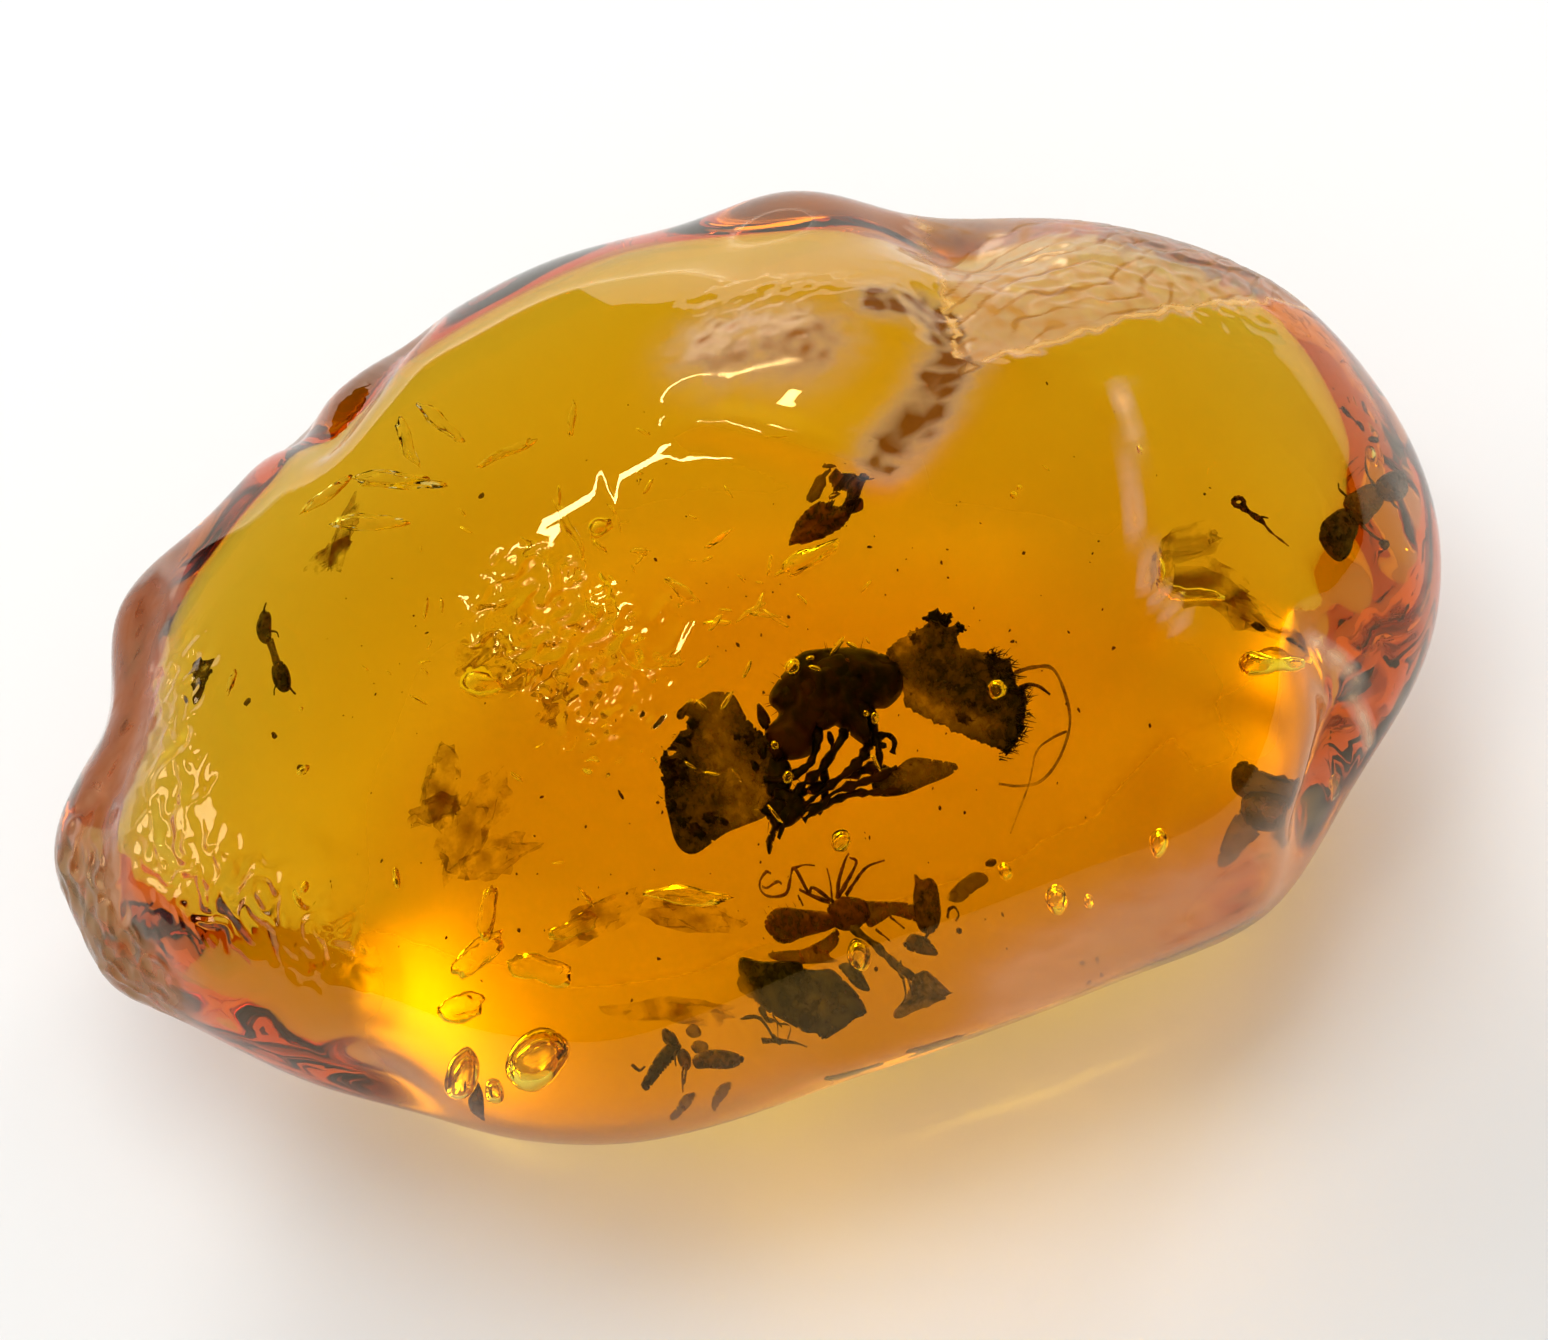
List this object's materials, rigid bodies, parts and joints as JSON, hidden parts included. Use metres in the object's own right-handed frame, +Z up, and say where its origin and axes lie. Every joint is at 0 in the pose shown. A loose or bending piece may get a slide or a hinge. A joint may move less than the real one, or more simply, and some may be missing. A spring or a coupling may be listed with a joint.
{
  "type": "insect in amber",
  "caption": "Polished irregular nugget of clear golden amber with a winged insect, gnats and plant scraps sealed in its middle.",
  "frame": {"origin": "on the flat rest face under the nugget, below its middle", "axes": "+Z up from the rest face, +X along the nugget towards its blunt end, -Y towards the side that the insects are seen from"},
  "size_m": [0.0464, 0.0312, 0.0201],
  "materials": {
    "amber": "polished clear amber, golden at the thin left end and orange where it is thick",
    "dark_insect": "black-brown chitin, dull, with smoky see-through wings",
    "brown_insect": "reddish brown chitin, dull",
    "charred_bark": "charred bark, matte black",
    "dry_plant": "dry grey-brown plant tissue, matte",
    "rotten_wood": "dark red-brown rotten wood, matte"
  },
  "bodies": {
    "root": {"amber_upper": "amber", "amber_lower": "amber", "winged_insect": "dark_insect", "long_legged_gnat": "brown_insect", "small_ant": "dark_insect", "beetle": "dark_insect", "fungus_gnat": "brown_insect", "midge": "brown_insect", "bark_flake": "charred_bark", "stalked_bud": "dry_plant", "seed_husk": "dry_plant", "leaf_scrap": "dry_plant", "seed": "dry_plant", "wood_splinter": "rotten_wood", "wood_fragment": "rotten_wood"}
  },
  "joints": []
}
